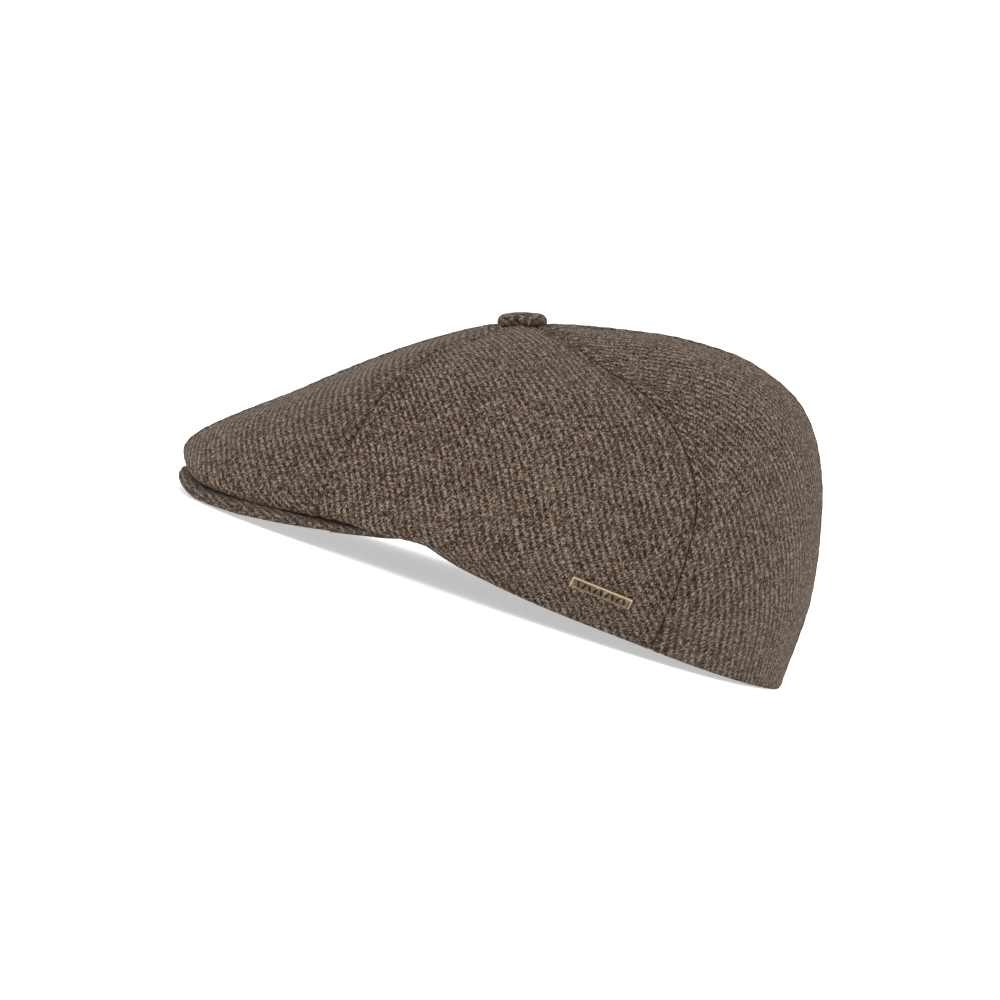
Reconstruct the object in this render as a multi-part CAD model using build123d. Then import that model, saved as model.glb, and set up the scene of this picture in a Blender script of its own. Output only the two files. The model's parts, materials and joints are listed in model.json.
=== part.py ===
from build123d import *
import math
import os

# Newsboy cap with six crown panels, a stiffened peak and a cloth-covered button.
# The cap is drawn in its own frame: +X to the front, +Y to the wearer's left, +Z up,
# with the origin at the centre of the head opening.  At the end every piece is tipped
# and shifted so that the peak and the back of the hem both stand on the plane z = 0.

# ---- driving dimensions, millimetres and degrees ----
CLOTH = 1.6
LINING_CLOTH = 0.6
BAND_HEIGHT = 29.2
BAND_THICKNESS = 1.2
STAY_HEIGHT = 26.0
STAY_THICKNESS = 0.7
BAND_LEAN = 0.09
LAYER_GAP = 0.3
BAND_LOW_EDGE = 0.6
STAY_LOW_EDGE = 1.5
BAND_END_ANGLE = 179.6
JOIN_TAPE_TURN = 4.0
JOIN_TAPE_THICKNESS = 0.5
JOIN_TAPE_LOW_EDGE = 2.0
JOIN_TAPE_HIGH_EDGE = 27.0

OPENING_HALF_LENGTH = 104.0
OPENING_HALF_WIDTH = 86.0
PEAK_CENTRE_X = 78.0
PEAK_REACH = 83.6
PEAK_HALF_WIDTH = 73.0
PEAK_FULLNESS = 0.9
PEAK_END_ANGLE = 100.0
PEAK_INNER_END_ANGLE = 53.0
PEAK_INNER_HEIGHT = 10.5
PEAK_INNER_DROP = 7.0
PEAK_CLOTH = 1.2
PEAK_PLY_GAP = 0.05
PEAK_BOARD = 2.0
PEAK_TURNING = 0.04
PEAK_START = 0.02
PEAK_BOARD_TRIM = 1.5
PEAK_TAPER_START = 50.0
PEAK_TAPER = 0.72

BUTTON_X = 52.5
BUTTON_Z = 98.3
BUTTON_TILT = 22.6
BUTTON_DIAMETER = 20.4
BUTTON_HEIGHT = 5.8
BUTTON_CLOTH = 1.2
BUTTON_CORE_RADIUS = 6.4
BUTTON_CORE_DEPTH = 2.6
BUTTON_BACK = 1.0
BUTTON_BACK_RADIUS = 7.4
BUTTON_ROUND = 4.2
BUTTON_FOOT_ROUND = 1.2
BUTTON_FOOT = 0.1
SHANK_DIAMETER = 3.0
WASHER_DIAMETER = 11.0
WASHER_DROP = 0.7
WASHER_THICKNESS = 0.6
SHANK_END = 0.4

SEAM_ALLOWANCE = 5.0
THREAD_WIDTH = 0.7
THREAD_HEIGHT = 0.45

BADGE_LENGTH = 26.2
BADGE_HEIGHT = 4.4
BADGE_THICKNESS = 1.8
BADGE_ANGLE = 107.3
BADGE_DROP = 0.906
BADGE_LIFT = 0.15
BADGE_CHAMFER = 0.5
BADGE_GROOVES = 9
BADGE_GROOVE_PITCH = 2.5
BADGE_GROOVE_WIDTH = 1.0
BADGE_GROOVE_LENGTH = 2.4
BADGE_GROOVE_DEPTH = 0.3
BADGE_GROOVE_LEAN = 20.0
PRONG_DIAMETER = 1.2
PRONG_SPACING = 18.0
PRONG_END = 2.0
BACKING_DROP = 0.85
BACKING_THICKNESS = 0.5
BACKING_WIDTH = 5.0

REST_TILT = 4.08

# ---- the lines that carry the crown and the lining ----
# Each runs from the button down to the hem, as (forward, left, up) points.
# The angles are their directions round the button; 60 and 120 are seams.
LINE_ANGLES = (0.0, 30.0, 60.0, 90.0, 120.0, 150.0, 180.0)
CROWN_LINES = [
    [(54, 0, 98), (68, 0, 91), (89, 0, 75.2), (108.6, 0, 57), (128, 0, 37.8),
     (154, 0, 12.4), (162.4, 0, -4.8), (149.5, 0, -5.2), (104, 0, 13)],
    [(54, 0, 98), (66, 7, 92.2), (83, 16, 80), (100, 24, 64), (118, 31, 44.5),
     (138, 37.5, 20), (148.6, 41.3, -6.6), (135, 37.4, -5.9), (98.5, 27.5, 12.5)],
    [(54, 0, 98), (62, 13, 92.8), (72, 28, 85.2), (83, 42, 75.2), (93.6, 57, 58.3),
     (99.5, 67.5, 33), (102.5, 70.5, 5), (97, 65.5, -0.8), (80, 55, 11)],
    [(54, 0, 98), (53, 12, 98), (50, 28, 96), (45, 46, 90.5), (37, 68, 78),
     (31, 84, 57), (28, 91.5, 32), (27, 91, 12.5), (27, 83, 0.5)],
    [(54, 0, 98), (44, 12, 100), (30, 28, 99.8), (13, 42, 96.6), (-8, 56, 92.4),
     (-27, 68, 79.7), (-40, 79, 59), (-44.5, 84, 26), (-44.5, 77.8, 0)],
    [(54, 0, 98), (41, 6.5, 102.8), (21, 16, 108), (-1, 25, 112.3), (-29, 33.5, 112.8),
     (-55, 41, 102.5), (-74.5, 47.5, 74), (-86, 52, 33), (-84.5, 50.2, 0)],
    [(54, 0, 98), (38, 0, 104.5), (15, 0, 112), (-12, 0, 118.4), (-42, 0, 119.8),
     (-69, 0, 110.4), (-88, 0, 84), (-101.5, 0, 40), (-104, 0, 0)],
]
LINING_LINES = [
    [(54, 0, 94), (65, 0, 89), (77, 0, 80.5), (87, 0, 71), (94.5, 0, 60),
     (98.5, 0, 50), (99, 0, 42.5)],
    [(54, 0, 94), (63.5, 5.5, 89), (74, 12, 81.5), (83, 18, 72.5), (89.5, 22.5, 61.5),
     (93, 25.5, 51), (93.3, 25.5, 42)],
    [(54, 0, 94), (60, 10, 89.5), (67, 22, 83.5), (73, 34, 74.5), (77, 43.5, 62),
     (77.5, 49.5, 50), (76, 51.5, 40)],
    [(54, 0, 94), (52.5, 13, 93.8), (49, 29, 90.5), (43.5, 46, 84), (36.5, 62, 70),
     (31, 73, 50), (27, 78.2, 31)],
    [(54, 0, 94), (43, 12, 96), (27, 31, 95.3), (8, 46, 92), (-15, 57, 84),
     (-34, 68, 64), (-42, 73.2, 29.5)],
    [(54, 0, 94), (40, 7, 98), (17, 18, 104), (-12, 29, 107), (-42, 37, 101.5),
     (-67, 43, 76), (-80, 46.8, 29.5)],
    [(54, 0, 94), (36, 0, 100), (8, 0, 110), (-25, 0, 116), (-59, 0, 110.5),
     (-84, 0, 80), (-98.3, 0, 29.5)],
]
# Height of the peak's upper face along its rim, by angle from the tip.
RIM_ANGLES = (0.0, 15.0, 30.0, 60.0, 85.0, 100.0)
RIM_HEIGHTS = ((-10.2,), (-12.2,), (-14.0,), (-9.8,), (-1.8,), (6.3,))

# The panels stop short of the button's axis, at this share of their length.
CROWN_EYE = 0.05
LINING_EYE = 0.03
# The stitch rows start and stop at these shares of a seam's length.
STITCH_START = 0.14
STITCH_END_FRONT = 0.7
STITCH_END_SIDE = 0.93
STITCH_END_BACK = 0.95

# Points carried by each surface: round or across the cap, then down it.
PANEL_GRID = (13, 61)
LINING_GRID = (13, 31)
BAND_GRID = (121, 5)
TAPE_GRID = (13, 13)
PEAK_GRID = (41, 7)
STITCH_GRID = (4, 61)
# Steps over which a surface's normal is measured.
FINE_STEPS = (0.05, 0.0005)
PEAK_STEPS = (0.05, 0.005)
RING_STEPS = (0.5, 0.5)


# ---- curves and surfaces ----
def mirrored(point):
    """The same point on the wearer's right."""
    return (point[0], -point[1], point[2])


def through(keys, points, x):
    """Smooth curve through points at increasing keys, evaluated at x."""
    last = len(keys) - 1
    i = min(max(sum(1 for key in keys if key <= x) - 1, 0), last - 1)
    span = keys[i + 1] - keys[i]

    def tangent(j):
        low = max(j - 1, 0)
        high = min(j + 1, last)
        run = keys[high] - keys[low]
        return [(q - p) / run * span for p, q in zip(points[low], points[high])]

    s = (x - keys[i]) / span
    weights = (2 * s**3 - 3 * s**2 + 1, s**3 - 2 * s**2 + s, 3 * s**2 - 2 * s**3, s**3 - s**2)
    rows = (points[i], tangent(i), points[i + 1], tangent(i + 1))
    return tuple(sum(w * row[k] for w, row in zip(weights, rows)) for k in range(len(points[i])))


def net_point(lines, angle, drop):
    """Point of a net of lines: angle round the button, drop 0 at the button to 1 at the edge."""
    rows = len(lines[0]) - 1
    half = [through(range(rows + 1), line, drop * rows) for line in lines]
    right = [mirrored(p) for p in half]
    ring = [half[-2]] + right[:0:-1] + half + right[-2::-1]
    angles = [LINE_ANGLES[-2] - 360] + [-a for a in LINE_ANGLES[:0:-1]] + list(LINE_ANGLES)
    angles += [360 - a for a in LINE_ANGLES[-2::-1]]
    return Vector(through(angles, ring, angle))


def crown(angle, drop):
    return net_point(CROWN_LINES, angle, drop)


def lining(angle, drop):
    return net_point(LINING_LINES, angle, drop)


def inner_ring(angle, height):
    """Wall that stands on the hem and leans in with height."""
    base = crown(angle, 1)
    along = (crown(angle + 0.5, 1) - crown(angle - 0.5, 1)).normalized()
    inwards = Vector(-along.Y, along.X, 0).normalized()
    return base + inwards * (CLOTH + LAYER_GAP + BAND_LEAN * height) + Vector(0, 0, height)


def rim_height(angle):
    angles = [-a for a in RIM_ANGLES[:0:-1]] + list(RIM_ANGLES)
    heights = list(RIM_HEIGHTS[:0:-1]) + list(RIM_HEIGHTS)
    return through(angles, heights, angle)[0]


def full(value):
    """Swells a sine or cosine, so that the rim is fuller than an ellipse."""
    return math.copysign(abs(value) ** PEAK_FULLNESS, value)


def peak(angle, reach):
    """Upper face of the peak, reach 0 at the head opening and 1 at the rim."""
    share = angle / PEAK_END_ANGLE
    inner_angle = math.radians(share * PEAK_INNER_END_ANGLE)
    inner_x = OPENING_HALF_LENGTH * math.cos(inner_angle)
    inner_y = OPENING_HALF_WIDTH * math.sin(inner_angle)
    inner_z = PEAK_INNER_HEIGHT - PEAK_INNER_DROP * share**2
    turn = math.radians(angle)
    outer_x = PEAK_CENTRE_X + PEAK_REACH * full(math.cos(turn))
    outer_y = PEAK_HALF_WIDTH * full(math.sin(turn))
    inner = Vector(inner_x, inner_y, inner_z)
    outer = Vector(outer_x, outer_y, rim_height(angle))
    return inner + (outer - inner) * reach


def peak_taper(angle):
    """The peak's layers thin out towards its two ends."""
    s = max(abs(angle) - PEAK_TAPER_START, 0) / (PEAK_END_ANGLE - PEAK_TAPER_START)
    return 1 - PEAK_TAPER * s


def beside_seam(seam_angle):
    """Crown surface measured across a seam: width in mm from the seam, then drop."""
    def surface(width, drop):
        stretch = (crown(seam_angle + 1, drop) - crown(seam_angle - 1, drop)).length / 2
        return crown(seam_angle + width / stretch, drop)
    return surface


def moved_in(surface, depth, steps=FINE_STEPS):
    """The surface moved by depth along its normal; the normals here point to the head."""
    step_a, step_b = steps

    def layer(a, b):
        across = surface(a + step_a, b) - surface(a - step_a, b)
        down = surface(a, b + step_b) - surface(a, b - step_b)
        here = depth(a) if callable(depth) else depth
        return surface(a, b) + across.cross(down).normalized() * here
    return layer


def spread(start, end, count):
    return [start + (end - start) * i / (count - 1) for i in range(count)]


def between(surface_a, surface_b, range_a, range_b, grid_size):
    """Solid between two surfaces over the same ranges."""
    a_values = spread(*range_a, grid_size[0])
    b_values = spread(*range_b, grid_size[1])
    faces = []
    for surface in (surface_a, surface_b):
        grid = [[surface(a, b) for b in b_values] for a in a_values]
        faces.append(Face.make_surface_from_array_of_points(grid, tol=0.02, min_deg=3, max_deg=3))
    sides = [Face.make_surface_from_curves(p, q) for p, q in zip(faces[0].edges(), faces[1].edges())]
    return Solid(Shell(faces + sides))


# ---- the pieces ----
def crown_panel(angle_0, angle_1):
    inside = moved_in(crown, CLOTH)
    return between(crown, inside, (angle_0, angle_1), (CROWN_EYE, 1), PANEL_GRID)


def lining_panel(angle_0, angle_1):
    inside = moved_in(lining, LINING_CLOTH)
    return between(lining, inside, (angle_0, angle_1), (LINING_EYE, 1), LINING_GRID)


def band(depth, thickness, low, high):
    """Strip round the inside of the hem, its two ends meeting at the back."""
    outside = moved_in(inner_ring, -depth, RING_STEPS)
    inside = moved_in(inner_ring, -depth - thickness, RING_STEPS)
    return between(outside, inside, (-BAND_END_ANGLE, BAND_END_ANGLE), (low, high), BAND_GRID)


def join_tape():
    """Tape sewn over the sweatband's join at the back."""
    depth = STAY_THICKNESS + LAYER_GAP + BAND_THICKNESS + LAYER_GAP
    outside = moved_in(inner_ring, -depth, RING_STEPS)
    inside = moved_in(inner_ring, -depth - JOIN_TAPE_THICKNESS, RING_STEPS)
    angles = (180 - JOIN_TAPE_TURN, 180 + JOIN_TAPE_TURN)
    return between(outside, inside, angles, (JOIN_TAPE_LOW_EDGE, JOIN_TAPE_HIGH_EDGE), TAPE_GRID)


def peak_layer(depth, thickness, reach, trim):
    """One layer of the peak, from the head opening to the rim, its ends trimmed by an angle."""
    upper = moved_in(peak, lambda angle: depth * peak_taper(angle), PEAK_STEPS)
    lower = moved_in(peak, lambda angle: (depth + thickness) * peak_taper(angle), PEAK_STEPS)
    end = PEAK_END_ANGLE - trim
    return between(upper, lower, (-end, end), (PEAK_START, reach), PEAK_GRID)


def seam_stitching(seam_angle, drop_end):
    """Two rows of thread, one each side of a seam."""
    surface = beside_seam(seam_angle)
    outside = moved_in(surface, -THREAD_HEIGHT)
    rows = []
    for side in (-1, 1):
        near = side * SEAM_ALLOWANCE
        widths = (near - THREAD_WIDTH / 2, near + THREAD_WIDTH / 2)
        rows.append(between(outside, surface, widths, (STITCH_START, drop_end), STITCH_GRID))
    return rows


def on_button_axis(shape):
    """Stands a shape, drawn on +Z from the cloth's outer face, on the crown's top."""
    return Location((BUTTON_X, 0, BUTTON_Z), (0, BUTTON_TILT, 0)) * shape


def dome(radius, height, crown_round):
    """Flat-bottomed button form, well rounded over the top edge."""
    blank = disc(radius, height, height)
    return fillet(blank.edges().filter_by(GeomType.CIRCLE).sort_by(Axis.Z)[-1], crown_round)


def disc(radius, thickness, top):
    """Round plate whose upper face is at the height given."""
    return Pos(0, 0, top - thickness / 2) * Cylinder(radius, thickness)


def button_pieces():
    """A pressed metal cup in a cloth cover, closed by a plate and held by a shank and washer."""
    cup_base = BUTTON_FOOT + BUTTON_BACK
    cup_radius = BUTTON_DIAMETER / 2 - BUTTON_CLOTH
    cup_height = BUTTON_HEIGHT - BUTTON_CLOTH - BUTTON_BACK
    cup = Pos(0, 0, cup_base) * dome(cup_radius, cup_height, BUTTON_ROUND - BUTTON_CLOTH)
    cover = dome(BUTTON_DIAMETER / 2, BUTTON_HEIGHT, BUTTON_ROUND)
    foot_edge = cover.edges().filter_by(GeomType.CIRCLE).sort_by(Axis.Z)[0]
    cover = Pos(0, 0, BUTTON_FOOT) * fillet(foot_edge, BUTTON_FOOT_ROUND)
    back = disc(BUTTON_BACK_RADIUS, BUTTON_BACK, cup_base)
    cover = cover - cup - back
    shell = cup - disc(BUTTON_CORE_RADIUS, BUTTON_CORE_DEPTH, cup_base + BUTTON_CORE_DEPTH)
    washer_top = -CLOTH - WASHER_DROP
    shank_length = BUTTON_FOOT - washer_top + WASHER_THICKNESS + SHANK_END
    shank = disc(SHANK_DIAMETER / 2, shank_length, BUTTON_FOOT)
    washer = disc(WASHER_DIAMETER / 2, WASHER_THICKNESS, washer_top) - shank
    return {
        "button_cloth_cover": on_button_axis(cover),
        "button_shell": on_button_axis(shell),
        "button_back_plate": on_button_axis(back),
        "button_shank": on_button_axis(shank),
        "button_washer": on_button_axis(washer),
    }


def badge_place():
    """Frame on the crown's outer face: X along the hem, Y up the cloth, Z outwards."""
    here = crown(BADGE_ANGLE, BADGE_DROP)
    along = crown(BADGE_ANGLE + 1, BADGE_DROP) - crown(BADGE_ANGLE - 1, BADGE_DROP)
    along = Vector(along.X, along.Y, 0)
    down = crown(BADGE_ANGLE, BADGE_DROP + 0.01) - crown(BADGE_ANGLE, BADGE_DROP - 0.01)
    return Plane(origin=here, x_dir=along, z_dir=down.cross(along)).location


def badge_pieces():
    """Bar on the cloth, its two prongs through the cloth, and the strip they bend over."""
    place = badge_place()
    plate = Box(BADGE_LENGTH, BADGE_HEIGHT, BADGE_THICKNESS)
    plate = chamfer(plate.faces().sort_by(Axis.Z)[-1].edges(), BADGE_CHAMFER)
    groove = Box(BADGE_GROOVE_WIDTH, BADGE_GROOVE_LENGTH, 2 * BADGE_GROOVE_DEPTH)
    for i in range(BADGE_GROOVES):
        x = (i - (BADGE_GROOVES - 1) / 2) * BADGE_GROOVE_PITCH
        lean = BADGE_GROOVE_LEAN * (-1) ** i
        plate -= Location((x, 0, BADGE_THICKNESS / 2), (0, 0, lean)) * groove
    plate = Pos(0, 0, BADGE_THICKNESS / 2 + BADGE_LIFT) * plate
    pin = disc(PRONG_DIAMETER / 2, CLOTH + PRONG_END, BADGE_LIFT)
    prongs = [Pos(side * PRONG_SPACING / 2, 0, 0) * pin for side in (-1, 1)]
    backing = Box(PRONG_SPACING + BACKING_WIDTH, BACKING_WIDTH, BACKING_THICKNESS)
    backing = Pos(0, 0, -CLOTH - BACKING_DROP - BACKING_THICKNESS / 2) * backing
    for prong in prongs:
        backing -= prong
    return place * plate, [place * prong for prong in prongs], place * backing


def solids_of(shape):
    """Flat list of the solids in a shape or a list of shapes."""
    shapes = shape if isinstance(shape, list) else [shape]
    return [solid for item in shapes for solid in item.solids()]


def right_of(shape):
    """The mirrored piece on the wearer's right."""
    return [mirror(solid, about=Plane.XZ) for solid in solids_of(shape)]


def build():
    nodes = {}
    plate, prongs, backing = badge_pieces()
    side = crown_panel(60, 120)
    right_side = right_of(side)
    for pin in prongs:
        side -= pin
    front = crown_panel(0, 60)
    rear = crown_panel(120, 180)
    nodes["crown_panel_front_left"] = front
    nodes["crown_panel_front_right"] = right_of(front)
    nodes["crown_panel_side_left"] = side
    nodes["crown_panel_side_right"] = right_side
    nodes["crown_panel_rear_left"] = rear
    nodes["crown_panel_rear_right"] = right_of(rear)

    for name, start in (("front", 0), ("side", 60), ("rear", 120)):
        panel = lining_panel(start, start + 60)
        nodes["lining_" + name + "_left"] = panel
        nodes["lining_" + name + "_right"] = right_of(panel)

    nodes["topstitch_front_seam"] = seam_stitching(0, STITCH_END_FRONT)
    front_side = seam_stitching(60, STITCH_END_FRONT)
    nodes["topstitch_front_left"] = front_side
    nodes["topstitch_front_right"] = right_of(front_side)
    rear_side = seam_stitching(120, STITCH_END_SIDE)
    nodes["topstitch_rear_left"] = rear_side
    nodes["topstitch_rear_right"] = right_of(rear_side)
    nodes["topstitch_back_seam"] = seam_stitching(180, STITCH_END_BACK)

    nodes["head_stay_band"] = band(0, STAY_THICKNESS, STAY_LOW_EDGE, STAY_HEIGHT)
    band_depth = STAY_THICKNESS + LAYER_GAP
    nodes["sweatband"] = band(band_depth, BAND_THICKNESS, BAND_LOW_EDGE, BAND_HEIGHT)
    nodes["sweatband_join_tape"] = join_tape()

    nodes["peak_upper_cloth"] = peak_layer(0, PEAK_CLOTH, 1, 0)
    board_depth = PEAK_CLOTH + PEAK_PLY_GAP
    under_depth = board_depth + PEAK_BOARD + PEAK_PLY_GAP
    nodes["peak_board"] = peak_layer(board_depth, PEAK_BOARD, 1 - PEAK_TURNING, PEAK_BOARD_TRIM)
    nodes["peak_under_cloth"] = peak_layer(under_depth, PEAK_CLOTH, 1, 0)

    nodes.update(button_pieces())
    nodes["badge_plate"] = plate
    nodes["badge_prongs"] = prongs
    nodes["badge_backing"] = backing
    return nodes


def stand(nodes):
    """Tips the cap so that peak and back hem touch z = 0, and centres its box on the origin."""
    tilt = Location((0, 0, 0), (0, -REST_TILT, 0))
    tipped = {name: [tilt * solid for solid in solids_of(shape)] for name, shape in nodes.items()}
    boxes = [solid.bounding_box() for solids in tipped.values() for solid in solids]
    middle_x = (min(b.min.X for b in boxes) + max(b.max.X for b in boxes)) / 2
    middle_y = (min(b.min.Y for b in boxes) + max(b.max.Y for b in boxes)) / 2
    shift = Location((-middle_x, -middle_y, -min(b.min.Z for b in boxes)))
    return {name: [shift * solid for solid in solids] for name, solids in tipped.items()}


os.makedirs("parts", exist_ok=True)
for node, solids in stand(build()).items():
    piece = solids[0] if len(solids) == 1 else Compound(children=solids)
    export_step(piece, "parts/" + node + ".step")
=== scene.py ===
import json
import math

import bpy
import numpy as np
from mathutils import Matrix, Vector, noise


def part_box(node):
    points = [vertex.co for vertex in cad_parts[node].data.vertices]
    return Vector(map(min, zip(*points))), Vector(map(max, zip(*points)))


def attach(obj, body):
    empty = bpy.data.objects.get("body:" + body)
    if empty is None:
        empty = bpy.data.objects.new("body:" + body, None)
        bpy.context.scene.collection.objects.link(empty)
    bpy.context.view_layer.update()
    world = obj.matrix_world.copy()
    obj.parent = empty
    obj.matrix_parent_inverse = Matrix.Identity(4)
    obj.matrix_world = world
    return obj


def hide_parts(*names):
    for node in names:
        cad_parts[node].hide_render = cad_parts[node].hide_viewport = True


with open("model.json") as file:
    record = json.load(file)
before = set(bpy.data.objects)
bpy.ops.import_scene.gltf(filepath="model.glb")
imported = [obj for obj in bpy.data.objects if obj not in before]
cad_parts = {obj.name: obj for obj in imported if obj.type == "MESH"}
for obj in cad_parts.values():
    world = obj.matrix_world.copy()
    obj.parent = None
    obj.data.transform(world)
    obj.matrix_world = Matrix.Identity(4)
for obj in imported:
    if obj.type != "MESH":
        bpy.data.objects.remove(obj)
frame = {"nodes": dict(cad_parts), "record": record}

# Newsboy cap: its looks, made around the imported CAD. Lengths are millimetres in the cap's own
# frame (+X front, +Y wearer's left, +Z up from the head opening) until placed() puts them in
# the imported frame, which is found from the record's head_opening mount and the sweatband.
# A crown line runs down from the button at one angle round it: 0 is the front, 90 the left.
# A drop is the share of that line, 0 at the button and 1 at the hem.

BODY = "root"
LEFT = np.array([0.0, 1.0, 0.0])
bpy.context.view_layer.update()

# ---- sizes shared with the CAD ----
CLOTH = 1.6
LINING_CLOTH = 0.6
BAND_HEIGHT = 29.2
BAND_THICKNESS = 1.2
STAY_THICKNESS = 0.7
BAND_LEAN = 0.09
LAYER_GAP = 0.3
SEAM_ALLOWANCE = 5.0
OPENING_HALF_LENGTH = 104.0
OPENING_HALF_WIDTH = 86.0
PEAK_CENTRE_X = 78.0
PEAK_REACH = 83.6
PEAK_HALF_WIDTH = 73.0
PEAK_FULLNESS = 0.9
PEAK_END_ANGLE = 100.0
PEAK_INNER_END_ANGLE = 53.0
PEAK_INNER_HEIGHT = 10.5
PEAK_INNER_DROP = 7.0
PEAK_CLOTH = 1.2
PEAK_THICKNESS = 4.5
PEAK_TAPER_START = 50.0
PEAK_TAPER = 0.72
BUTTON_PLACE = (52.5, 0.0, 98.3)
BUTTON_TILT = 22.6
BUTTON_RADIUS = 10.2
BUTTON_WRAP = 1.22

LINE_ANGLES = np.array((0.0, 30.0, 60.0, 90.0, 120.0, 150.0, 180.0))
CROWN_LINES = [
    [(54, 0, 98), (68, 0, 91), (89, 0, 75.2), (108.6, 0, 57), (127.4, 0, 37.9),
     (158.3, 0, 6.9), (160.9, 0, -5.2), (149.5, 0, -5.6), (104, 0, 13)],
    [(54, 0, 98), (66, 7, 92.2), (83, 16, 80), (100, 24, 64), (118, 31, 44.5),
     (138, 37.5, 20), (148.6, 41.3, -7.6), (135, 37.4, -6.4), (98.5, 27.5, 12.5)],
    [(54, 0, 98), (62, 13, 92.8), (72, 28, 85.2), (83, 42, 75.2), (93.6, 57, 58.3),
     (99.5, 67.5, 33), (102.5, 70.5, 5), (97, 65.5, -0.8), (80, 55, 11)],
    [(54, 0, 98), (53, 12, 98), (50, 28, 96), (45, 46, 90.5), (37, 68, 78),
     (31, 84, 57), (28, 91.5, 32), (27, 91, 12.5), (27, 83, 0.5)],
    [(54, 0, 98), (44, 12, 100), (30, 28, 99.8), (13, 42, 96.6), (-8, 56, 92.4),
     (-27, 68, 79.7), (-40, 79, 59), (-44.5, 84, 26), (-44.5, 77.8, 0)],
    [(54, 0, 98), (41, 6.5, 102.8), (21, 16, 108), (-1, 25, 112.3), (-29, 33.5, 112.8),
     (-55, 41, 102.5), (-74.5, 47.5, 74), (-86, 52, 33), (-84.5, 50.2, 0)],
    [(54, 0, 98), (38, 0, 104.5), (15, 0, 112), (-12, 0, 118.4), (-42, 0, 119.8),
     (-69, 0, 110.4), (-88, 0, 84), (-101.5, 0, 40), (-104, 0, 0)],
]
LINING_LINES = [
    [(54, 0, 94), (65, 0, 89), (77, 0, 80.5), (87, 0, 71), (94.5, 0, 60),
     (98.5, 0, 50), (99, 0, 42.5)],
    [(54, 0, 94), (63.5, 5.5, 89), (74, 12, 81.5), (83, 18, 72.5), (89.5, 22.5, 61.5),
     (93, 25.5, 51), (93.3, 25.5, 42)],
    [(54, 0, 94), (60, 10, 89.5), (67, 22, 83.5), (73, 34, 74.5), (77, 43.5, 62),
     (77.5, 49.5, 50), (76, 51.5, 40)],
    [(54, 0, 94), (52.5, 13, 93.8), (49, 29, 90.5), (43.5, 46, 84), (36.5, 62, 70),
     (31, 73, 50), (27, 78.2, 31)],
    [(54, 0, 94), (43, 12, 96), (27, 31, 95.3), (8, 46, 92), (-15, 57, 84),
     (-34, 68, 64), (-42, 73.2, 29.5)],
    [(54, 0, 94), (40, 7, 98), (17, 18, 104), (-12, 29, 107), (-42, 37, 101.5),
     (-67, 43, 76), (-80, 46.8, 29.5)],
    [(54, 0, 94), (36, 0, 100), (8, 0, 110), (-25, 0, 116), (-59, 0, 110.5),
     (-84, 0, 80), (-98.3, 0, 29.5)],
]
RIM_ANGLES = np.array((0.0, 15.0, 30.0, 60.0, 85.0, 100.0))
RIM_HEIGHTS = np.array((-10.2, -12.2, -14.0, -9.8, -1.8, 6.3))

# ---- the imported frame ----
MOUNT = next(m for m in frame["record"]["mounts"] if m["name"] == "head_opening")
ORIGIN = np.array(MOUNT["pos_m"])
ORIGIN[1] = sum(corner[1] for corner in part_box("sweatband")) / 2
UP = -np.array(MOUNT["axis"])
FORWARD = np.cross(LEFT, UP)
AXES = np.array([FORWARD, LEFT, UP])


def placed(points):
    """Millimetres in the cap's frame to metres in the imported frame."""
    return ORIGIN + 0.001 * np.asarray(points, float) @ AXES


def turned(direction):
    """A direction in the cap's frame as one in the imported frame."""
    return np.asarray(direction, float) @ AXES


# ---- surfaces ----
CROWDING = 0.6
TINY = 1e-9


def through(keys, values, at):
    """Smooth curve through values at increasing keys, as the CAD draws it."""
    keys = np.asarray(keys, float)
    values = np.asarray(values, float)
    at = np.atleast_1d(np.asarray(at, float))
    i = np.clip(np.searchsorted(keys, at, side="right") - 1, 0, len(keys) - 2)
    column = (-1,) + (1,) * (values.ndim - 1)
    gaps = np.diff(keys)
    slopes = np.empty_like(values)
    slopes[0] = (values[1] - values[0]) / gaps[0]
    slopes[-1] = (values[-1] - values[-2]) / gaps[-1]
    slopes[1:-1] = (values[2:] - values[:-2]) / (keys[2:] - keys[:-2]).reshape(column)
    span = gaps[i].reshape(column)
    s = ((at - keys[i]) / gaps[i]).reshape(column)
    return ((2 * s**3 - 3 * s**2 + 1) * values[i] + (s**3 - 2 * s**2 + s) * span * slopes[i]
            + (3 * s**2 - 2 * s**3) * values[i + 1] + (s**3 - s**2) * span * slopes[i + 1])


def net(lines, angles, drops):
    """Grid of points, angles round the button by drops from the button to the edge. The lines
    are given for the left half, and the right half mirrors them."""
    rows = len(lines[0]) - 1
    at = np.asarray(drops) * rows
    half = np.array([through(np.arange(rows + 1), line, at) for line in lines])
    flip = half * (1, -1, 1)
    ring = np.concatenate([half[-2:-1], flip[:0:-1], half, flip[-2::-1]])
    keys = np.concatenate([LINE_ANGLES[-2:-1] - 360, -LINE_ANGLES[:0:-1], LINE_ANGLES,
                           360 - LINE_ANGLES[-2::-1]])
    return through(keys, ring, angles)


def normals_of(grid):
    """Outward normals of a grid that turns from front to left and runs down."""
    normals = np.cross(np.gradient(grid, axis=1), np.gradient(grid, axis=0))
    return normals / np.maximum(np.linalg.norm(normals, axis=2, keepdims=True), TINY)


def lengths_along(grid, axis):
    """Running length of the grid's lines along an axis."""
    steps = np.linalg.norm(np.diff(grid, axis=axis), axis=2)
    total = np.cumsum(steps, axis=axis)
    zero = np.zeros_like(total.take([0], axis=axis))
    return np.concatenate([zero, total], axis=axis)


def rough(points, scale, seed):
    """Smooth noise from -1 to 1 at points, with features about scale mm across."""
    flat = points.reshape(-1, 3) / scale + seed * 7.31
    values = [noise.noise(Vector(p)) for p in flat]
    return np.array(values).reshape(points.shape[:-1])


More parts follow.
